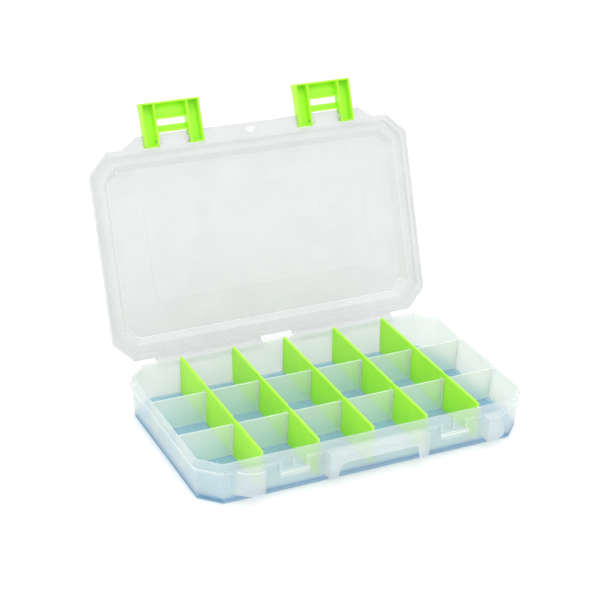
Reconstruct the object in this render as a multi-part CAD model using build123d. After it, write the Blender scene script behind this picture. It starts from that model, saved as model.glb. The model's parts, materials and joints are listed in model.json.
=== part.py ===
from build123d import *
import os
from math import cos, radians, sin, sqrt

# Utility tackle box: a clear tray with a soft liner, lift-out dividers, a clear lid on a
# two-line flexible hinge, and two swinging latches. Millimetres, +Z up. The origin is the
# centre of the tray's underside; the latches face -Y and the hinge is at +Y.
# The lid is drawn closed and then swung to its rest pose, which is open.

# Driving dimensions of the tray
RIM_LENGTH = 270.0
RIM_DEPTH = 158.2
TRAY_HEIGHT = 33.7
CORNER = 14.9  # leg of the 45 degree corner cut
DRAFT = 1.9  # how far each wall leans out from the floor to the rim
WALL = 1.8
FLOOR = 2.0
CORNER_ROUND = 3.0  # upright corners outside, and inside below
INSIDE_ROUND = 1.6
FOOT_ROUND = 1.4
LEDGE_REACH = 2.1  # the ledge under the rim, outside the wall
LEDGE_TOP = 27.6
LEDGE_THICK = 1.8
LEDGE_CORNER = 15.7
LEDGE_ROUND = 2.5
HINGE_EDGE_HALF = 0.8  # half the thickness of the edge that each bend line meets
BURY = 2.0  # how far an added piece starts inside the wall that it stands on

# Liner and dividers
GEL_THICK = 3.4
GEL_LIFT = 0.05  # above the tray floor
GEL_SIDE_GAP = 0.1
GEL_ROUND = 1.5
RIB_LIFT = 0.15  # from the liner's top to the foot of a rib
DIVIDER_LIFT = 0.2
COLUMN_PITCH = 44.4
LONG_DIVIDERS = 5
LONG_THICK = 2.0
LONG_TOP = 36.0
SHORT_THICK = 1.2
SHORT_TOP = 31.6
ROW_Y = 26.1  # the two rows of short dividers
FLANGE_WIDTH = 5.0  # end flange of a short divider
FLANGE_THICK = 1.0
GROOVE_DEPTH = 0.4
SLIDE_GAP = 0.15
SLOT_GAP = 0.3
RIB_WIDTH = 1.6
RIB_PROUD = 1.4
RIB_TOP = 32.3
RIB_LEAD = (0.6, 1.2)  # chamfer at the top of a rib, across and down

# Front of the tray: handle, shields and latch catches
FRONT_REACH = 10.9
FRONT_ROOT = -75.6  # y where the front fittings start, inside the wall's inner face
HANDLE_HALF = 40.7
SHELF_TOP = 28.1
LEG_BOTTOM = 8.5
SKIRT_BOTTOM = 20.2
GRIP_HALF = 32.0
GRIP_SPLAY = 3.0
GRIP_ROUND = 5.0
SHIELD_INNER = 91.3
SHIELD_OUTER = 113.0
SHIELD_BOTTOM = 9.2
SHIELD_BEND = 98.0  # x where the shield's front turns back to the wall
SHIELD_BEND_INSIDE = 97.6
SHIELD_BOW = (1.0, 3.4)  # middle of that turn, beyond the middle of its ends
CATCH_HALF = 11.6
CATCH_REACH = 5.5
CATCH_BOTTOM = 16.6
CATCH_TOP = 20.8
CATCH_CHAMFER = 1.2
RISER_REACH = 3.1
CATCH_RIB_HALF = 0.8
CATCH_RIB_BACK = 0.4  # how far the middle rib stands behind the risers
CATCH_RIB_DROP = 3.5  # from the rim to the top of the middle rib

# Lid
LID_LENGTH = 276.0
LID_DEPTH = 163.8
LID_CORNER = 16.0
LID_GAP = 0.3  # between the rim and the closed lid
LID_THICK = 1.8
LID_ROUND = 2.5
LIP_DROP = 1.4  # lip under the lid's two sides
LIP_WALL = 1.3
LIP_ROUND = 2.0
HINGE_WINDOW_CUT = 1.0  # notch between the two hinge strips
DOME_HEIGHT = 8.5
DOME_FOOT = (127.0, 70.7)
DOME_TOP = (122.0, 65.7)
DOME_CORNER = 12.0
DOME_TOP_CORNER = 9.0
DOME_ROUND = 2.5
PANEL_HALF = (95.8, 40.0)
PANEL_CORNER = 5.0
PANEL_DROP = 1.6
PANEL_WALL = 1.6
PANEL_STEP = 0.4  # small step round the sunk panel
DISH_GROW = 0.6
PAD_PLACE = (69.0, -24.0)
PAD_SIZE = (30.0, 22.0)
PAD_ROUND = 2.0
PAD_THICK = 0.6
PLINTH_HEIGHT = 3.2  # upright step round the lid, over the inside of the tray
PLINTH_INSET = 1.9  # from the tray's rim to the inside of that step
PLINTH_ROUND = 2.0
TONGUE_HALF = 97.0
TONGUE_ROOT = 110.0
TONGUE_REACH = 11.6
HANG_RADIUS = 4.0  # half-round hole in the tongue
HANG_BACK = 1.8  # from the latch pivots out to its straight side

# Hinge: two flexible lines joined by a strip
HINGE_Y = 83.4
STRIP_INNER = 14.0
STRIP_OUTER = 104.5
BEAD = 0.6
STRIP_THICK = 0.9
HINGE_GAP = 0.3
STRIP_OPEN = 65.0  # turn of the strip from closed to the rest pose
LID_OPEN = 110.2  # turn of the lid from closed to the rest pose

# Latches, drawn closed: s runs down from the pivot, t runs out from the box
LATCH_X = 66.0
LATCH_HALF = 24.4
LATCH_LEG = 11.5
LATCH_WALL = 1.5
PIVOT_OUT = 5.8  # from the rim's front face
PIVOT_DROP = 1.7  # below the middle of the lid flange
PIN_RADIUS = 1.5
PIN_CLEAR = 0.06
LATCH_NEAR = 4.3
LATCH_RIM = -3.2
LATCH_BACK = 4.3
LATCH_PLATE = 1.8
LATCH_LENGTH = 30.5
LATCH_FLARE = 2.5
LATCH_OPEN = 92.0
LATCH_GAP = 0.4  # round a leg, in the lid's notch
TIP_WALL = 1.3
TIP_INSET = 0.6  # from the open side of the legs to the end lip
TIP_OVERLAP = 0.4
TIP_CORNER = 0.8
POCKET_CHAMFER = 1.5
POCKET_OPEN = -9.0  # t beyond the open side of the legs
FLARE_START = 20.0
FLARE_MIDDLE = 26.0
FLARE_SHARE = 0.32  # share of the flare that is reached at its middle point
EAR_GAP = 0.5
EAR_RADIUS = 2.6
EAR_THICK = 2.0
PIN_LENGTH = 2.1
BAR_NEAR = 6.7
BAR_FAR = 12.2
WINDOW_END = 16.9
BAR_LIP = -1.0  # t where the lips at the bar and the window end
WINDOW_LIP = -1.8
SMALL = 0.01
FAR = 200.0  # beyond every face of the box

half_length = RIM_LENGTH / 2
half_depth = RIM_DEPTH / 2
gel_top = FLOOR + GEL_LIFT + GEL_THICK
divider_bottom = gel_top + DIVIDER_LIFT
lid_bottom = TRAY_HEIGHT + LID_GAP
lid_middle = lid_bottom + LID_THICK / 2
ledge_middle = LEDGE_TOP - LEDGE_THICK / 2
strip_length = lid_middle - ledge_middle
pivot_y = -half_depth - PIVOT_OUT
pivot_z = lid_middle - PIVOT_DROP
front_y = -half_depth - FRONT_REACH
divider_x = [(k - (LONG_DIVIDERS - 1) / 2) * COLUMN_PITCH for k in range(LONG_DIVIDERS)]


def lean(z):
    """How far a tray wall stands inside the rim line at height z."""
    return DRAFT * (1 - z / TRAY_HEIGHT)


def block(x, y, z):
    """Box between two limits along each axis."""
    size = [high - low for low, high in (x, y, z)]
    middle = [(high + low) / 2 for low, high in (x, y, z)]
    return Pos(*middle) * Box(*size)


def octagon(half_x, half_y, corner, radius):
    """Rectangle with its corners cut at 45 degrees and its vertices rounded."""
    inner_x = half_x - corner
    inner_y = half_y - corner
    points = [
        (inner_x, -half_y),
        (half_x, -inner_y),
        (half_x, inner_y),
        (inner_x, half_y),
        (-inner_x, half_y),
        (-half_x, inner_y),
        (-half_x, -inner_y),
        (-inner_x, -half_y),
    ]
    face = make_face(Polyline(*points, close=True))
    return fillet(face.vertices(), radius)


def offset_octagon(half_x, half_y, corner, inset, radius):
    """The same octagon with every side moved in by inset."""
    return octagon(half_x - inset, half_y - inset, corner - inset * (2 - sqrt(2)), radius)


def tray_section(z, inset, radius):
    """Tray outline at height z, with every side moved in by inset."""
    start = (half_length - lean(z), half_depth - lean(z), CORNER)
    return Pos(0, 0, z) * offset_octagon(*start, inset, radius)


def tray_solid(z_low, z_high, inset, radius):
    """Solid with the tray's leaning sides between two heights."""
    sections = [tray_section(z, inset, radius).face() for z in (z_low, z_high)]
    return loft(sections, ruled=True)


def prism_x(points, x_low, x_high):
    """Polygon of (y, z) points, extruded along X."""
    face = Plane.YZ * make_face(Polyline(*points, close=True))
    return Pos(x_low, 0, 0) * extrude(face, x_high - x_low, dir=(1, 0, 0))


def prism_y(points, y_low, y_high):
    """Polygon of (x, z) points, extruded along Y."""
    face = Plane.XZ * make_face(Polyline(*points, close=True))
    return Pos(0, y_low, 0) * extrude(face, y_high - y_low, dir=(0, 1, 0))


def both_sides(shape):
    """A shape and its mirror image across the YZ plane."""
    return shape + mirror(shape, about=Plane.YZ)


def front_shield():
    """Hollow wedge that guards the outer side of the right latch bay."""
    def plan(inner, reach, start, outer):
        tip = (start, front_y + reach)
        bend = ((start + outer) / 2 + SHIELD_BOW[0], front_y + reach + SHIELD_BOW[1])
        foot = (outer, -half_depth + lean(SHIELD_BOTTOM))
        edges = [
            Line((inner, FRONT_ROOT), (inner, front_y + reach)),
            Line((inner, front_y + reach), tip),
            ThreePointArc(tip, bend, foot),
            Line(foot, (outer, FRONT_ROOT)),
            Line((outer, FRONT_ROOT), (inner, FRONT_ROOT)),
        ]
        return make_face(edges)

    shell = extrude(plan(SHIELD_INNER, 0, SHIELD_BEND, SHIELD_OUTER), SHELF_TOP - SHIELD_BOTTOM)
    hollow = extrude(
        plan(SHIELD_INNER + WALL, WALL, SHIELD_BEND_INSIDE, SHIELD_OUTER - 2 * WALL),
        SHELF_TOP - SHIELD_BOTTOM - WALL,
    )
    return Pos(0, 0, SHIELD_BOTTOM) * (shell - hollow)


def front_handle():
    """Fixed carrying grip: a shelf with a skirt that is arched between two legs."""
    reach = (front_y, FRONT_ROOT)
    shell = block((-HANDLE_HALF, HANDLE_HALF), reach, (LEG_BOTTOM, SHELF_TOP))
    hollow = block(
        (WALL - HANDLE_HALF, HANDLE_HALF - WALL),
        (front_y + WALL, 0),
        (0, SHELF_TOP - WALL),
    )
    arch = Plane.XZ * make_face(
        Polyline(
            (-GRIP_HALF - GRIP_SPLAY, 0),
            (-GRIP_HALF, SKIRT_BOTTOM),
            (GRIP_HALF, SKIRT_BOTTOM),
            (GRIP_HALF + GRIP_SPLAY, 0),
            close=True,
        )
    )
    arch = fillet(arch.vertices().group_by(Axis.Z)[-1], GRIP_ROUND)
    arch = extrude(arch, 2 * half_depth, dir=(0, -1, 0))
    return shell - hollow - arch


def latch_catch():
    """U-shaped catch under the rim that the right latch hooks under."""
    low = LATCH_X - CATCH_HALF
    high = LATCH_X + CATCH_HALF
    bar_front = -half_depth - CATCH_REACH
    riser_front = -half_depth - RISER_REACH
    bar = block((low, high), (bar_front, FRONT_ROOT), (CATCH_BOTTOM, CATCH_TOP))
    front_edges = bar.edges().filter_by(Axis.X).group_by(Axis.Y)[0]
    bar = chamfer(front_edges.sort_by(Axis.Z)[-1], CATCH_CHAMFER)
    risers = [
        block((x, x + WALL), (riser_front, FRONT_ROOT), (CATCH_BOTTOM, LEDGE_TOP))
        for x in (low, high - WALL)
    ]
    rib = block(
        (LATCH_X - CATCH_RIB_HALF, LATCH_X + CATCH_RIB_HALF),
        (riser_front + CATCH_RIB_BACK, FRONT_ROOT),
        (CATCH_TOP - CATCH_RIB_HALF, TRAY_HEIGHT - CATCH_RIB_DROP),
    )
    return bar + risers + rib


def slot_rib(height_low):
    """Upright rib on the inside of the +Y wall, centred on x = 0."""
    inside = half_depth - WALL
    low = inside - lean(height_low)
    high = inside - lean(RIB_TOP)
    points = [
        (low - RIB_PROUD, height_low),
        (low + WALL / 2, height_low),
        (high + WALL / 2, RIB_TOP),
        (high - RIB_PROUD + RIB_LEAD[0], RIB_TOP),
        (high - RIB_PROUD, RIB_TOP - RIB_LEAD[1]),
    ]
    return prism_x(points, -RIB_WIDTH / 2, RIB_WIDTH / 2)


def wall_ribs():
    """All the ribs that hold the ends of the dividers."""
    rib = slot_rib(gel_top + RIB_LIFT)
    ribs = []
    long_step = LONG_THICK / 2 + SLOT_GAP + RIB_WIDTH / 2
    for x in divider_x:
        for side in (-1, 1):
            at_back = Pos(x + side * long_step, 0, 0) * rib
            ribs += [at_back, mirror(at_back, about=Plane.XZ)]
    short_step = SHORT_THICK / 2 + SLOT_GAP + RIB_WIDTH / 2
    to_side = half_length - half_depth
    for y in (-ROW_Y, ROW_Y):
        for side in (-1, 1):
            at_right = Pos(to_side, y + side * short_step, 0) * (Rot(0, 0, -90) * rib)
            ribs += [at_right, mirror(at_right, about=Plane.YZ)]
    return ribs


def tray():
    """Open tray with its ledge, handle, shields, catches and divider ribs."""
    body = tray_solid(0, TRAY_HEIGHT, 0, CORNER_ROUND)
    body = fillet(body.edges().group_by(Axis.Z)[0], FOOT_ROUND)
    ledge_half = half_length - lean(ledge_middle) + LEDGE_REACH
    ledge_y = half_depth - lean(ledge_middle) + LEDGE_REACH
    ledge = octagon(ledge_half, ledge_y, LEDGE_CORNER, LEDGE_ROUND)
    ledge = Pos(0, 0, LEDGE_TOP - LEDGE_THICK) * extrude(ledge, LEDGE_THICK)
    catch_gap = block(
        (LATCH_X - CATCH_HALF + WALL, LATCH_X + CATCH_HALF - WALL),
        (-FAR, SMALL - half_depth + lean(ledge_middle) - CATCH_RIB_BACK),
        (0, TRAY_HEIGHT),
    )
    ledge -= both_sides(catch_gap)
    hinge_edge = block(
        (STRIP_INNER, STRIP_OUTER),
        (half_depth - BURY, HINGE_Y - BEAD - HINGE_GAP),
        (ledge_middle - HINGE_EDGE_HALF, ledge_middle + HINGE_EDGE_HALF),
    )
    body += [ledge, both_sides(hinge_edge), both_sides(front_shield()), front_handle()]
    body += both_sides(latch_catch())
    cavity = tray_solid(FLOOR, TRAY_HEIGHT + 1, WALL, INSIDE_ROUND)
    body -= cavity
    return body + wall_ribs()


def gel_liner():
    """Soft blue mat that covers the tray floor."""
    return tray_solid(FLOOR + GEL_LIFT, gel_top, WALL + GEL_SIDE_GAP, GEL_ROUND)


def wall_inside(z):
    """How far a divider's end stands inside the rim line at height z."""
    return lean(z) + WALL + SLOT_GAP


def long_divider(x):
    """Front-to-back divider with a shallow groove each side where a short one meets it."""
    end_low = half_depth - wall_inside(divider_bottom)
    end_high = half_depth - wall_inside(RIB_TOP)
    half = [
        (end_low, divider_bottom),
        (end_high, RIB_TOP),
        (end_high, LONG_TOP),
    ]
    other = [(-y, z) for y, z in reversed(half)]
    plate = prism_x(half + other, x - LONG_THICK / 2, x + LONG_THICK / 2)
    half_groove = FLANGE_WIDTH / 2 + SLOT_GAP
    for side in (-1, 1):
        face = x + side * LONG_THICK / 2
        groove_x = sorted((face - side * GROOVE_DEPTH, face + side))
        for y in (-ROW_Y, ROW_Y):
            plate -= block(groove_x, (y - half_groove, y + half_groove), (0, FAR))
    return plate


def short_divider(column, y):
    """Side-to-side divider with a flange at each end that meets a long one."""
    into = LONG_THICK / 2 - GROOVE_DEPTH + SLIDE_GAP
    low_x = divider_x[column - 1] + into if column > 0 else None
    high_x = divider_x[column] - into if column < LONG_DIVIDERS else None
    bottom_end = half_length - wall_inside(divider_bottom)
    top_end = half_length - wall_inside(SHORT_TOP)
    left = [(low_x, divider_bottom), (low_x, SHORT_TOP)]
    right = [(high_x, divider_bottom), (high_x, SHORT_TOP)]
    if low_x is None:
        left = [(-bottom_end, divider_bottom), (-top_end, SHORT_TOP)]
    if high_x is None:
        right = [(bottom_end, divider_bottom), (top_end, SHORT_TOP)]
    outline = [left[0], right[0], right[1], left[1]]
    piece = prism_y(outline, y - SHORT_THICK / 2, y + SHORT_THICK / 2)
    flange_y = (y - FLANGE_WIDTH / 2, y + FLANGE_WIDTH / 2)
    height = (divider_bottom, SHORT_TOP)
    if low_x is not None:
        piece += block((low_x, low_x + FLANGE_THICK), flange_y, height)
    if high_x is not None:
        piece += block((high_x - FLANGE_THICK, high_x), flange_y, height)
    return piece


def lid_dome(grow, base, top):
    """Raised middle of the lid between two heights, grown outward by grow."""
    foot = octagon(DOME_FOOT[0] + grow, DOME_FOOT[1] + grow, DOME_CORNER, DOME_ROUND)
    rim = octagon(DOME_TOP[0] + grow, DOME_TOP[1] + grow, DOME_TOP_CORNER, DOME_ROUND)
    return loft([(Pos(0, 0, base) * foot).face(), (Pos(0, 0, top) * rim).face()], ruled=True)


def lid_plinth(grow, base, top):
    """Upright step of the lid between two heights, grown outward by grow."""
    outline = offset_octagon(half_length, half_depth, CORNER, PLINTH_INSET - grow, PLINTH_ROUND)
    return Pos(0, 0, base) * extrude(outline, top - base)


def panel_dish(grow, z_rim):
    """Shallow frustum between the dome's top edge and the sunk middle panel."""
    rim = octagon(DOME_TOP[0] + grow, DOME_TOP[1] + grow, DOME_TOP_CORNER, DOME_ROUND)
    panel = octagon(*PANEL_HALF, PANEL_CORNER, DOME_ROUND)
    low = (Pos(0, 0, z_rim - PANEL_DROP) * panel).face()
    slope = loft([(Pos(0, 0, z_rim) * rim).face(), low], ruled=True)
    step = Pos(0, 0, z_rim - PANEL_DROP - PANEL_STEP) * extrude(panel, PANEL_STEP + PANEL_DROP)
    return slope + step


def latch_ear():
    """Lug under the lid's front edge with the pin that a latch leg turns on."""
    inner = LATCH_X - LATCH_HALF + LATCH_LEG + EAR_GAP
    lug = Rot(0, 90, 0) * Cylinder(EAR_RADIUS, EAR_THICK)
    lug = Pos(inner + EAR_THICK / 2, pivot_y, pivot_z) * lug
    neck = block(
        (inner, inner + EAR_THICK),
        (pivot_y - EAR_RADIUS, pivot_y + EAR_RADIUS),
        (pivot_z, lid_bottom + LID_THICK / 2),
    )
    pin = Rot(0, 90, 0) * Cylinder(PIN_RADIUS, PIN_LENGTH)
    pin = Pos(inner - EAR_THICK / 2, pivot_y, pivot_z) * pin
    return lug + neck + pin


def lid_closed():
    """Lid as it sits on the tray: flange, tongue, stepped dome, notches, ears and hole."""
    flange = octagon(LID_LENGTH / 2, LID_DEPTH / 2, LID_CORNER, LID_ROUND)
    tongue_y = -half_depth - TONGUE_REACH
    tongue = make_face(
        Polyline(
            (-TONGUE_ROOT, SMALL - LID_DEPTH / 2),
            (-TONGUE_HALF, tongue_y),
            (TONGUE_HALF, tongue_y),
            (TONGUE_ROOT, SMALL - LID_DEPTH / 2),
            (TONGUE_ROOT, BURY - LID_DEPTH / 2),
            (-TONGUE_ROOT, BURY - LID_DEPTH / 2),
            close=True,
        )
    )
    plate = Pos(0, 0, lid_bottom) * (extrude(flange, LID_THICK) + extrude(tongue, LID_THICK))
    lip_inside = offset_octagon(LID_LENGTH / 2, LID_DEPTH / 2, LID_CORNER, LIP_WALL, LIP_ROUND)
    lip = extrude(flange, LIP_DROP) - extrude(lip_inside, LIP_DROP)
    lip_y = LID_DEPTH / 2 - LIP_DROP
    lip &= block((-FAR, FAR), (-lip_y, lip_y), (-FAR, FAR))
    body = plate + Pos(0, 0, lid_bottom - LIP_DROP) * lip

    hinge_edge = block(
        (STRIP_INNER, STRIP_OUTER),
        (LID_DEPTH / 2 - BURY, HINGE_Y - BEAD - HINGE_GAP),
        (lid_middle - HINGE_EDGE_HALF, lid_middle + HINGE_EDGE_HALF),
    )
    body += both_sides(hinge_edge)
    body -= block((-STRIP_INNER, STRIP_INNER), (LID_DEPTH / 2 - HINGE_WINDOW_CUT, FAR), (0, FAR))

    dome_top = lid_bottom + DOME_HEIGHT
    plinth_top = lid_bottom + PLINTH_HEIGHT
    shell = lid_dome(PANEL_WALL, plinth_top, dome_top + PANEL_WALL)
    sunk = panel_dish(DISH_GROW, dome_top + PANEL_WALL)
    body += lid_plinth(PANEL_WALL, lid_bottom, plinth_top + PANEL_WALL)
    body += shell - sunk
    body -= lid_plinth(0, lid_bottom - SMALL, plinth_top)
    body -= lid_dome(0, plinth_top - SMALL, dome_top) - panel_dish(0, dome_top)
    pad = extrude(RectangleRounded(*PAD_SIZE, PAD_ROUND), PAD_THICK)
    body += Pos(*PAD_PLACE, dome_top - PANEL_DROP - PANEL_STEP - PAD_THICK / 2) * pad

    notch_y = (-FAR, pivot_y + LATCH_NEAR + LATCH_GAP)
    for leg_x in (LATCH_X - LATCH_HALF, LATCH_X + LATCH_HALF - LATCH_LEG):
        notch_x = (leg_x - LATCH_GAP, leg_x + LATCH_LEG + LATCH_GAP)
        body -= both_sides(block(notch_x, notch_y, (0, FAR)))
    left_ear = latch_ear()
    right_ear = mirror(left_ear, about=Plane.YZ.offset(LATCH_X))
    body += both_sides(left_ear + right_ear)

    hole = Circle(HANG_RADIUS) - Pos(0, -HANG_RADIUS) * Rectangle(3 * HANG_RADIUS, 2 * HANG_RADIUS)
    return body - Pos(0, pivot_y - HANG_BACK, 0) * extrude(hole, FAR)


def latch_curve(depth):
    """Edge of the latch plate's flared end, depth inside its outer face."""
    start = (FLARE_START, LATCH_BACK - depth)
    middle = (FLARE_MIDDLE, LATCH_BACK - depth + FLARE_SHARE * LATCH_FLARE)
    end = (LATCH_LENGTH, LATCH_BACK - depth + LATCH_FLARE)
    return start, middle, end


def latch_plane(s, t):
    """Point (y, z) of the closed latch at s down from the pivot and t outward."""
    return pivot_y - t, pivot_z - s


def latch_face(edges):
    """Face in the YZ plane from edges given by their end and middle points in (s, t)."""
    lines = []
    for points in edges:
        placed = [latch_plane(*p) for p in points]
        lines.append(Line(*placed) if len(placed) == 2 else ThreePointArc(*placed))
    return Plane.YZ * make_face(lines)


def latch_slab(face, low, high):
    """The latch profile made solid between two distances from the latch's middle."""
    return Pos(LATCH_X + low, 0, 0) * extrude(face, high - low, dir=(1, 0, 0))


def latch_closed():
    """Right-hand latch: two channel legs, a hook bar, a window and a flared finger tab."""
    near_end = (-sqrt(LATCH_NEAR**2 - LATCH_RIM**2), LATCH_RIM)
    outer = latch_curve(0)
    inner = latch_curve(LATCH_PLATE)
    rim_end = (LATCH_LENGTH, LATCH_RIM)
    leg_profile = latch_face([
        [near_end, rim_end],
        [rim_end, outer[2]],
        [outer[2], outer[1], outer[0]],
        [outer[0], (0, LATCH_BACK)],
        [(0, LATCH_BACK), (-LATCH_NEAR, 0), near_end],
    ])
    pocket_start = LATCH_WALL - LATCH_NEAR
    pocket_end = LATCH_LENGTH - TIP_WALL
    pocket_floor = inner[0][1]
    chamfer_start = (pocket_start + POCKET_CHAMFER, pocket_floor)
    chamfer_end = (pocket_start, pocket_floor - POCKET_CHAMFER)
    tip_corner = (pocket_end, inner[2][1] - TIP_CORNER)
    pocket_profile = latch_face([
        [(pocket_start, POCKET_OPEN), (pocket_end, POCKET_OPEN)],
        [(pocket_end, POCKET_OPEN), tip_corner],
        [tip_corner, inner[0]],
        [inner[0], chamfer_start],
        [chamfer_start, chamfer_end],
        [chamfer_end, (pocket_start, POCKET_OPEN)],
    ])
    plate_profile = latch_face([
        [(BAR_NEAR, LATCH_BACK), outer[0]],
        [outer[0], outer[1], outer[2]],
        [outer[2], inner[2]],
        [inner[2], inner[1], inner[0]],
        [inner[0], (BAR_NEAR, inner[0][1])],
        [(BAR_NEAR, inner[0][1]), (BAR_NEAR, LATCH_BACK)],
    ])
    inside = LATCH_HALF - LATCH_LEG
    leg = latch_slab(leg_profile, inside, LATCH_HALF)
    leg -= latch_slab(pocket_profile, inside + LATCH_WALL, LATCH_HALF - LATCH_WALL)
    pin_hole = Rot(0, 90, 0) * Cylinder(PIN_RADIUS + PIN_CLEAR, 2 * (LATCH_WALL + EAR_GAP))
    leg -= Pos(LATCH_X + inside, pivot_y, pivot_z) * pin_hole
    body = latch_slab(plate_profile, -inside - SMALL, inside + SMALL)
    window_z = (pivot_z - WINDOW_END, pivot_z - BAR_FAR)
    body -= block((LATCH_X - inside, LATCH_X + inside), (-FAR, 0), window_z)

    def lip(s_low, s_high, t_low, t_high=LATCH_BACK):
        (y_high, z_high), (y_low, z_low) = latch_plane(s_low, t_low), latch_plane(s_high, t_high)
        width = (LATCH_X - inside - SMALL, LATCH_X + inside + SMALL)
        return block(width, (y_low, y_high), (z_low, z_high))

    body += lip(BAR_NEAR, BAR_NEAR + LATCH_WALL, BAR_LIP)
    body += lip(WINDOW_END, WINDOW_END + LATCH_WALL, WINDOW_LIP)
    end_root = LATCH_BACK + LATCH_FLARE - LATCH_PLATE + TIP_OVERLAP
    body += lip(LATCH_LENGTH - LATCH_WALL, LATCH_LENGTH, LATCH_RIM + TIP_INSET, end_root)
    body += leg + mirror(leg, about=Plane.YZ.offset(LATCH_X))
    return body


def hinge_strip_closed():
    """Flexible strip right of the middle, standing upright between its two bend lines."""
    middle_z = (ledge_middle + lid_middle) / 2
    width = STRIP_OUTER - STRIP_INNER
    strip = Pos((STRIP_INNER + STRIP_OUTER) / 2, HINGE_Y, middle_z)
    strip *= Box(width, STRIP_THICK, strip_length)
    for z in (ledge_middle, lid_middle):
        bead = Rot(0, 90, 0) * Cylinder(BEAD, width)
        strip += Pos((STRIP_INNER + STRIP_OUTER) / 2, HINGE_Y, z) * bead
    return strip


def swing(shape, start, end, degrees):
    """Turn a shape back about X through start, and move start to end (y, z pairs)."""
    return Pos(0, *end) * (Rot(-degrees, 0, 0) * (Pos(0, -start[0], -start[1]) * shape))


lower_line = (HINGE_Y, ledge_middle)
upper_line = (HINGE_Y, lid_middle)
upper_open = (
    HINGE_Y + strip_length * sin(radians(STRIP_OPEN)),
    ledge_middle + strip_length * cos(radians(STRIP_OPEN)),
)
pivot = (pivot_y, pivot_z)

strip_right = swing(hinge_strip_closed(), lower_line, lower_line, STRIP_OPEN)
latch_right = swing(latch_closed(), pivot, pivot, LATCH_OPEN)
latch_right = swing(latch_right, upper_line, upper_open, LID_OPEN)

os.makedirs("parts", exist_ok=True)

nodes = {
    "tray": tray(),
    "gel_liner": gel_liner(),
    "lid": swing(lid_closed(), upper_line, upper_open, LID_OPEN),
    "hinge_strip_right": strip_right,
    "hinge_strip_left": mirror(strip_right, about=Plane.YZ),
    "latch_right": latch_right,
    "latch_left": mirror(latch_right, about=Plane.YZ),
}
for index, x in enumerate(divider_x):
    nodes[f"long_divider_{index + 1}"] = long_divider(x)
for row, y in (("front", -ROW_Y), ("back", ROW_Y)):
    for column in range(LONG_DIVIDERS + 1):
        nodes[f"short_divider_{row}_{column + 1}"] = short_divider(column, y)

for name, shape in nodes.items():
    export_step(shape, f"parts/{name}.step")

opened = swing(Sphere(1).move(Pos(0, *pivot)), upper_line, upper_open, LID_OPEN).center()
print("hinge lines (y, z):", lower_line, tuple(round(v, 4) for v in upper_open))
print("latch pivot (y, z):", round(opened.Y, 4), round(opened.Z, 4))
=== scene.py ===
"""Visual model of a translucent tackle box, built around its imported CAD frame. Metres, +Z up."""
import json
import math

import bmesh
import bpy
from mathutils import Matrix, Vector
from mathutils.bvhtree import BVHTree
from mathutils.geometry import intersect_point_line


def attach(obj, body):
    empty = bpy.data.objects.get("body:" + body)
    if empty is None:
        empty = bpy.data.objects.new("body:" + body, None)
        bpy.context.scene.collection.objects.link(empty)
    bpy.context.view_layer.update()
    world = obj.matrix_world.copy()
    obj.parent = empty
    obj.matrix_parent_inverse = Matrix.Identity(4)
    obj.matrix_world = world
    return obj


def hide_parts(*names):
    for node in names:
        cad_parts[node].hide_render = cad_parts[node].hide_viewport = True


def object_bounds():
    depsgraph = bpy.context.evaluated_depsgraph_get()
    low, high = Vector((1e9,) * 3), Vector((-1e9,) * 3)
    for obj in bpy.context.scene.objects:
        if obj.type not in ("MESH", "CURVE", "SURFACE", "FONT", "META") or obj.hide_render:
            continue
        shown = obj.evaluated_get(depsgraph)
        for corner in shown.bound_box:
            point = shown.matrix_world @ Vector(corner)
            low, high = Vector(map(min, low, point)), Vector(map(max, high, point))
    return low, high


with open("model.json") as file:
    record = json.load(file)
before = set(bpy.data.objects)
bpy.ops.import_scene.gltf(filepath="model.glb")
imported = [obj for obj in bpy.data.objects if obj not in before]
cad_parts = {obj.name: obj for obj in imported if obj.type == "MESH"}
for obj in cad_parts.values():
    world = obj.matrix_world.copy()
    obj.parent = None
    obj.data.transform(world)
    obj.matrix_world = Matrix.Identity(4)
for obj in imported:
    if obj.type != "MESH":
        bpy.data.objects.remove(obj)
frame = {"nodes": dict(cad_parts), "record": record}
cad_low, cad_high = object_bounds()

MM = 0.001

# ---- camera -------------------------------------------------------------------------------
CAMERA_PLACE = (-0.5017, -0.9628, 0.6366)
CAMERA_AZIMUTH = math.radians(-26.351)
CAMERA_ELEVATION = math.radians(26.171)
CAMERA_ROLL = math.radians(1.80)
SENSOR = 36.0
LENS = 97.18
NEAREST_SEEN = 0.05
FARTHEST_SEEN = 50.0


def make_camera():
    """A long lens, looking down at the open box from its front left."""
    back = Vector(
        (
            math.sin(CAMERA_AZIMUTH) * math.cos(CAMERA_ELEVATION),
            -math.cos(CAMERA_AZIMUTH) * math.cos(CAMERA_ELEVATION),
            math.sin(CAMERA_ELEVATION),
        )
    )
    level_right = (-back).cross(Vector((0, 0, 1))).normalized()
    level_up = level_right.cross(-back)
    right = math.cos(CAMERA_ROLL) * level_right + math.sin(CAMERA_ROLL) * level_up
    up = -math.sin(CAMERA_ROLL) * level_right + math.cos(CAMERA_ROLL) * level_up
    data = bpy.data.cameras.new("camera")
    data.sensor_width = SENSOR
    data.lens = LENS
    data.clip_start = NEAREST_SEEN
    data.clip_end = FARTHEST_SEEN
    camera = bpy.data.objects.new("camera", data)
    turn = Matrix((right, up, back)).transposed()
    camera.matrix_world = Matrix.Translation(CAMERA_PLACE) @ turn.to_4x4()
    bpy.context.scene.collection.objects.link(camera)
    bpy.context.scene.camera = camera


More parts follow.
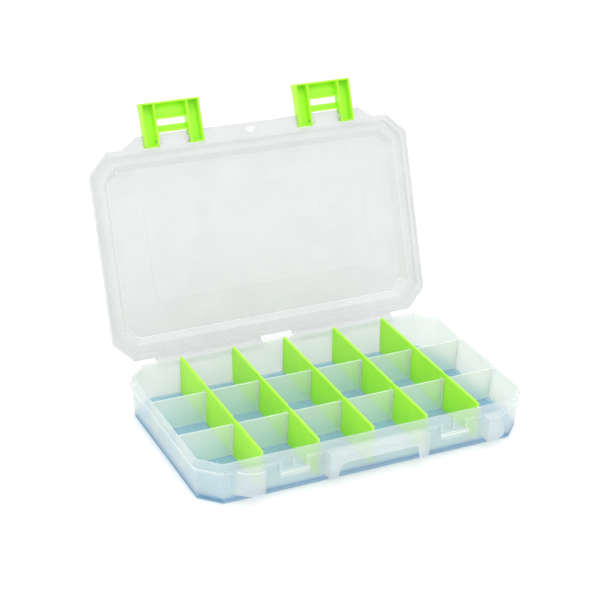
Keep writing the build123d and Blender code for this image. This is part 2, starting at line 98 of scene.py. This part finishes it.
# ---- studio -------------------------------------------------------------------------------
FLOOR_HALF = 12.0
FLOOR_TONE = 0.97
FLOOR_ROUGHNESS = 0.9
FLOOR_GLOSS = 0.1
WORLD_STRENGTH = 1.02
CLEAR_LAYERS = 64               # see-through faces that one line of sight may cross
LIGHTS = {                      # name: (place, width in metres, power in watts)
    "overhead": ((0.0, -0.1, 1.6), 1.8, 9.0),
    "front_left": ((-1.3, -1.3, 1.0), 1.2, 1.6),
}


def make_world():
    """Even white light from all round."""
    world = bpy.data.worlds.new("studio")
    world.use_nodes = True
    background = world.node_tree.nodes["Background"]
    background.inputs["Color"].default_value = (1.0, 1.0, 1.0, 1.0)
    background.inputs["Strength"].default_value = WORLD_STRENGTH
    bpy.context.scene.world = world
    bpy.context.scene.view_settings.view_transform = "Standard"
    bpy.context.scene.cycles.transparent_max_bounces = CLEAR_LAYERS


def area_light(name, place, target, size, power):
    """A square soft box that faces its target."""
    data = bpy.data.lights.new(name, "AREA")
    data.size = size
    data.energy = power
    light = bpy.data.objects.new(name, data)
    light.location = place
    aim = Vector(target) - Vector(place)
    light.rotation_mode = "QUATERNION"
    light.rotation_quaternion = aim.to_track_quat("-Z", "Y")
    bpy.context.scene.collection.objects.link(light)


def make_floor():
    """A plain pale floor under the box, wide enough to reach every edge of the view."""
    mesh = bpy.data.meshes.new("floor")
    corners = [(-1, -1), (1, -1), (1, 1), (-1, 1)]
    points = [(x * FLOOR_HALF, y * FLOOR_HALF, cad_low.z) for x, y in corners]
    mesh.from_pydata(points, [], [(0, 1, 2, 3)])
    floor = bpy.data.objects.new("floor", mesh)
    bpy.context.scene.collection.objects.link(floor)
    material = bpy.data.materials.new("floor_paper")
    material.use_nodes = True
    shader = material.node_tree.nodes["Principled BSDF"]
    shader.inputs["Base Color"].default_value = [FLOOR_TONE] * 3 + [1.0]
    shader.inputs["Roughness"].default_value = FLOOR_ROUGHNESS
    shader.inputs["Specular IOR Level"].default_value = FLOOR_GLOSS
    mesh.materials.append(material)


# ---- materials ----------------------------------------------------------------------------
FLOW_SCALE = 38.0       # slow tone changes across a moulding, about 26 mm
GRAIN_SCALE = 2600.0    # the frosted skin's grain, about 0.4 mm
POLISH_SCALE = 160.0    # smudges in the gloss, about 6 mm
FLOW_RANGE = (0.3, 0.7)         # the part of the noise over which the tone drifts
GLOSS_DRIFT = 0.15              # share by which the roughness varies either way
GRAIN_DEPTH = 0.05 * MM
GLOW_REACH = 2.0 * MM
GLOW_COLOUR = (1.0, 1.0, 0.5)
PLASTIC_IOR = 1.49
FROST_IOR = 1.2         # a thin wall bends light less than a solid block would


def colour_mix(tree):
    """A node that fades from one colour to another: its share, from, to and result sockets."""
    node = tree.nodes.new("ShaderNodeMix")
    node.data_type = "RGBA"
    start, end = (socket for socket in node.inputs if socket.type == "RGBA")
    result = next(socket for socket in node.outputs if socket.type == "RGBA")
    return node.inputs["Factor"], start, end, result


def moulded_plastic(
    name, colour, spread, roughness, alpha=1.0, grain=0.10, glow=0.0, foot=None, clear=0.0
):
    """Moulded plastic: slow colour drift from the melt's flow, uneven gloss, and a fine surface grain.

    colour is the middle tone, spread the share that it drifts either way, alpha the cover of one face,
    grain the strength of the surface relief, and glow the light that scatters under the surface.
    foot is (colour, low, high): a painted tone of coloured light near the base, and the heights between
    which it fades out.
    clear is the share of light that passes straight in and is scattered, as in a thick frosted wall.
    """
    material = bpy.data.materials.new(name)
    material.use_nodes = True
    tree = material.node_tree
    link = tree.links.new
    shader = tree.nodes["Principled BSDF"]
    place = tree.nodes.new("ShaderNodeTexCoord")

    def noise(scale, detail):
        node = tree.nodes.new("ShaderNodeTexNoise")
        node.inputs["Scale"].default_value = scale
        node.inputs["Detail"].default_value = detail
        link(place.outputs["Object"], node.inputs["Vector"])
        return node.outputs["Fac"]

    tone = tree.nodes.new("ShaderNodeValToRGB")
    low, high = tone.color_ramp.elements
    low.position, high.position = FLOW_RANGE
    low.color = [c * (1 - spread) for c in colour] + [1.0]
    high.color = [min(c * (1 + spread), 1.0) for c in colour] + [1.0]
    link(noise(FLOW_SCALE, 3.0), tone.inputs["Fac"])
    surface = tone.outputs["Color"]

    shader.inputs["Alpha"].default_value = alpha
    # Painted light near the base: the surface fades to the foot colour below the given heights.
    if foot:
        painted_foot_light, foot_low, foot_high = foot
        axes = tree.nodes.new("ShaderNodeSeparateXYZ")
        link(place.outputs["Object"], axes.inputs["Vector"])
        height = tree.nodes.new("ShaderNodeMapRange")
        height.interpolation_type = "SMOOTHSTEP"
        height.inputs["From Min"].default_value = foot_low * MM
        height.inputs["From Max"].default_value = foot_high * MM
        link(axes.outputs["Z"], height.inputs["Value"])
        share, at_foot, above, faded = colour_mix(tree)
        at_foot.default_value = list(painted_foot_light) + [1.0]
        link(height.outputs["Result"], share)
        link(surface, above)
        surface = faded
    link(surface, shader.inputs["Base Color"])

    gloss = tree.nodes.new("ShaderNodeMapRange")
    gloss.inputs["To Min"].default_value = roughness * (1 - GLOSS_DRIFT)
    gloss.inputs["To Max"].default_value = roughness * (1 + GLOSS_DRIFT)
    link(noise(POLISH_SCALE, 2.0), gloss.inputs["Value"])
    link(gloss.outputs["Result"], shader.inputs["Roughness"])

    relief = tree.nodes.new("ShaderNodeBump")
    relief.inputs["Strength"].default_value = grain
    relief.inputs["Distance"].default_value = GRAIN_DEPTH
    link(noise(GRAIN_SCALE, 1.0), relief.inputs["Height"])
    link(relief.outputs["Normal"], shader.inputs["Normal"])
    shader.inputs["IOR"].default_value = FROST_IOR if clear else PLASTIC_IOR
    shader.inputs["Transmission Weight"].default_value = clear
    if glow:
        shader.inputs["Subsurface Weight"].default_value = glow
        shader.inputs["Subsurface Radius"].default_value = GLOW_COLOUR
        shader.inputs["Subsurface Scale"].default_value = GLOW_REACH
    return material


PAINTED_GEL_LIGHT = (0.05, 0.33, 0.62)       # painted light: the liner's blue laid on the tray's foot, standing in for its light seen through the wall
PAINTED_CELL_LIGHT = (0.86, 0.97, 0.88)     # painted light and shade: the darker, pale green tone that a clear divider is given low in a cell, for the dimmer, coloured light down there


def make_materials():
    """The face and edge materials of each moulding, by the start of its node's name; the edge copies
    carry painted light and shade along the rounds.
    """
    # Edge copies: tone and cover painted on the rounds to stand for the light that gathers along moulded
    # edges.
    edge = {"roughness": 0.30, "spread": 0.02}
    # Painted highlight: lighter and denser than the lid's face.
    lid_edge_highlight = moulded_plastic("lid_edge_highlight", (0.84, 0.85, 0.85), alpha=0.80, **edge)
    # Painted edge light: denser and a little lighter than the tray's face.
    tray_edge_light = moulded_plastic(
        "tray_edge_light", (0.88, 0.92, 0.91), alpha=0.70, foot=(PAINTED_GEL_LIGHT, 1.0, 6.0), **edge
    )
    # Painted edge light: denser than the clear divider's face.
    divider_edge_light = moulded_plastic("divider_edge_light", (0.88, 0.96, 0.92), alpha=0.75, **edge)
    # Painted highlight: lighter and yellower than the lime divider's face.
    lime_edge_highlight = moulded_plastic("lime_edge_highlight", (0.56, 0.95, 0.25), glow=0.15, **edge)
    # Painted shade: darker and yellower than the latch's face.
    latch_edge_shade = moulded_plastic("latch_edge_shade", (0.34, 0.78, 0.10), glow=0.15, **edge)
    # Painted shade: the lid's plastic is set darker than the tray's to offset the stronger light falling
    # on the lid.
    lid = moulded_plastic("frosted_lid_shaded", (0.665, 0.68, 0.685), 0.03, 0.36, alpha=0.48)
    # The tray's foot, faces and rounds alike, is painted with the liner's blue light.
    tray = moulded_plastic(
        "frosted_tray", (0.86, 0.89, 0.90), 0.03, 0.40, alpha=0.42,
        foot=(PAINTED_GEL_LIGHT, 1.5, 6.5), clear=0.35,
    )
    # Low on the clear dividers, a painted tone for the cells' dimmer, coloured light.
    short = moulded_plastic(
        "frosted_divider", (0.99, 1.0, 0.92), 0.03, 0.34, alpha=0.42,
        foot=(PAINTED_CELL_LIGHT, 5.0, 26.0),
    )
    lime = moulded_plastic("lime_divider", (0.45, 0.98, 0.03), 0.05, 0.38, grain=0.08, glow=0.15)
    latch = moulded_plastic("lime_latch", (0.45, 0.93, 0.035), 0.04, 0.34, grain=0.08, glow=0.15)
    gel = moulded_plastic("blue_gel", (0.40, 0.74, 0.92), 0.06, 0.45, alpha=0.30, grain=0.15)
    # Painted shade: a darker, denser blue on the gel's rounds, for the dark line where its edge bends
    # the light.
    gel_edge_shade = moulded_plastic("gel_edge_shade", (0.08, 0.30, 0.68), 0.04, 0.40, alpha=0.75)
    return {
        "lid": (lid, lid_edge_highlight),
        "hinge": (lid, lid_edge_highlight),
        "tray": (tray, tray_edge_light),
        "short": (short, divider_edge_light),
        "long": (lime, lime_edge_highlight),
        "latch": (latch, latch_edge_shade),
        "gel": (gel, gel_edge_shade),
    }


# ---- mouldings ----------------------------------------------------------------------------
MERGE = 0.002 * MM              # points nearer than this are one point
FLAT = math.radians(0.02)       # only triangles of one flat face are joined, never facets of a curve
EDGE_ANGLE = math.radians(28)   # edges sharper than this get a moulded round
ROOM = 2.6                      # a round needs this many times its own width of face
ROUND_STEPS = 2                 # faces across each round
FIT_TRIES = 30
NEAR = 2.0                      # how near a misfit an edge is narrowed, in widths of the full round
NARROWER = 0.5                  # what one try leaves of a round that doesn't fit
LEAST = 0.1                     # a share of the full round that is not worth keeping
STRAY = 0.5                     # how far a round may stand off the sharp surface, in widths
FOLDED = -0.3                   # a triangle turned away from the sharp surface by more than this cosine
LIT = 0.2                       # least cosine between a face and the normal that it is lit by
TINY_AREA = 1e-5 * MM * MM      # a triangle too small to have a sound direction
SLACK = 0.0001 * MM             # how far past the sharp shape's box counts as inside it
ROUND = {                       # width of the full round in mm, by kind of moulding
    "tray": 0.38, "lid": 0.50, "latch": 0.32, "long": 0.30, "short": 0.24, "gel": 0.40, "hinge": 0.15,
}


def kind_of(node):
    """The start of a node's name, which says what kind of moulding it is."""
    return node.split("_")[0]


def reach(face, edge):
    """How far a face reaches from one of its edges."""
    start, end = (v.co for v in edge.verts)
    along = (end - start).normalized()
    return max((v.co - start - along * (v.co - start).dot(along)).length for v in face.verts)


def first_shares(shape, width):
    """The share of the full round that each sharp edge has room for, judged by its two faces."""
    shares = [0.0] * len(shape.edges)
    for edge in shape.edges:
        if edge.calc_face_angle(0.0) > EDGE_ANGLE:
            room = min(reach(face, edge) for face in edge.link_faces)
            shares[edge.index] = min(1.0, room / (ROOM * width))
    return shares


def misfits(rounded, surface, limits, width):
    """Corners of a rounded shape where it folds over, leaves the sharp shape or is lit the wrong way."""
    rounded.calc_loop_triangles()
    points = []
    for triangle in rounded.loop_triangles:
        if triangle.area < TINY_AREA:
            continue
        corners = [rounded.vertices[i].co for i in triangle.vertices]
        _, normal, _, gap = surface.find_nearest(sum(corners, Vector()) / 3)
        stray = gap > STRAY * width or triangle.normal.dot(normal) < FOLDED
        lit = min(triangle.normal.dot(rounded.corner_normals[i].vector) for i in triangle.loops)
        if stray or lit < LIT:
            points += [corner.copy() for corner in corners]
    for vertex in rounded.vertices:
        outside = any(not low <= c <= high for c, low, high in zip(vertex.co, *limits))
        if outside or surface.find_nearest(vertex.co)[3] > STRAY * width:
            points.append(vertex.co.copy())
    return points


def edge_gap(edge, point):
    """Distance from a point to an edge."""
    near, share = intersect_point_line(point, edge.verts[0].co, edge.verts[1].co)
    if share < 0:
        near = edge.verts[0].co
    elif share > 1:
        near = edge.verts[1].co
    return (point - near).length


def fit_rounds(piece, shape, width):
    """Narrows the rounds wherever they don't fit, in up to FIT_TRIES tries, and leaves the last one."""
    surface = BVHTree.FromBMesh(shape)
    spans = [[vertex.co[axis] for vertex in shape.verts] for axis in range(3)]
    limits = [min(span) - SLACK for span in spans], [max(span) + SLACK for span in spans]
    shape.faces.ensure_lookup_table()
    shape.edges.index_update()
    shares = first_shares(shape, width)
    sharp = [share > 0 for share in shares]
    piece.data.attributes.new("bevel_weight_edge", "FLOAT", "EDGE")
    piece.data.attributes.new("sharp_edge", "BOOLEAN", "EDGE")
    for _ in range(FIT_TRIES):
        piece.data.attributes["bevel_weight_edge"].data.foreach_set("value", shares)
        unrounded = [keen and not share for keen, share in zip(sharp, shares)]
        piece.data.attributes["sharp_edge"].data.foreach_set("value", unrounded)
        piece.data.update()
        piece.update_tag()
        bpy.context.view_layer.update()
        rounded = piece.evaluated_get(bpy.context.evaluated_depsgraph_get())
        points = misfits(rounded.to_mesh(), surface, limits, width)
        rounded.to_mesh_clear()
        if not points:
            break
        cramped = set()
        for point in points:
            for _, _, index, _ in surface.find_nearest_range(point, NEAR * width):
                for edge in shape.faces[index].edges:
                    if shares[edge.index] > 0 and edge_gap(edge, point) < NEAR * width:
                        cramped.add(edge.index)
        for index in cramped:
            narrower = shares[index] * NARROWER
            shares[index] = narrower if narrower > LEAST else 0.0


def moulding(node, body, slot, face, edge):
    """A copy of a CAD node with rounded edges, which stands for it."""
    mesh = bpy.data.meshes.new(node + "_moulding")
    shape = bmesh.new()
    shape.from_mesh(frame["nodes"][node].data)
    bmesh.ops.remove_doubles(shape, verts=shape.verts, dist=MERGE)
    bmesh.ops.dissolve_limit(
        shape, angle_limit=FLAT, use_dissolve_boundaries=False, verts=shape.verts, edges=shape.edges
    )
    bmesh.ops.recalc_face_normals(shape, faces=shape.faces)
    shape.to_mesh(mesh)
    for name in ("custom_normal", "sharp_edge", "sharp_face"):
        if name in mesh.attributes:
            mesh.attributes.remove(mesh.attributes[name])
    mesh.materials.clear()
    mesh.materials.append(face)
    mesh.materials.append(edge)
    mesh.polygons.foreach_set("material_index", [0] * len(mesh.polygons))
    mesh.polygons.foreach_set("use_smooth", [True] * len(mesh.polygons))
    piece = bpy.data.objects.new(node + "_moulding", mesh)
    bpy.context.scene.collection.objects.link(piece)
    edges = piece.modifiers.new("edges", "BEVEL")
    width = ROUND[kind_of(node)] * MM
    edges.width = width
    edges.segments = ROUND_STEPS
    edges.limit_method = "WEIGHT"
    edges.use_clamp_overlap = False
    edges.harden_normals = True
    # The rounds take the edge copy, with its painted edge light and shade.
    edges.material = 1
    fit_rounds(piece, shape, width)
    shape.free()
    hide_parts(node)
    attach(piece, body)
    return piece


def make_mouldings(materials):
    """Every CAD node, as a moulding in the materials for its kind of moulding."""
    slots = {part["node"]: part["material_slot"] for part in frame["record"]["subparts"]}
    for body, nodes in frame["record"]["behaviour"]["bodies"].items():
        for node in nodes:
            moulding(node, body, slots[node], *materials[kind_of(node)])


# ---- the scene ----------------------------------------------------------------------------
make_camera()
make_world()
middle = (cad_low + cad_high) / 2
for name, (place, size, power) in LIGHTS.items():
    area_light(name, place, middle, size, power)
make_floor()
make_mouldings(make_materials())
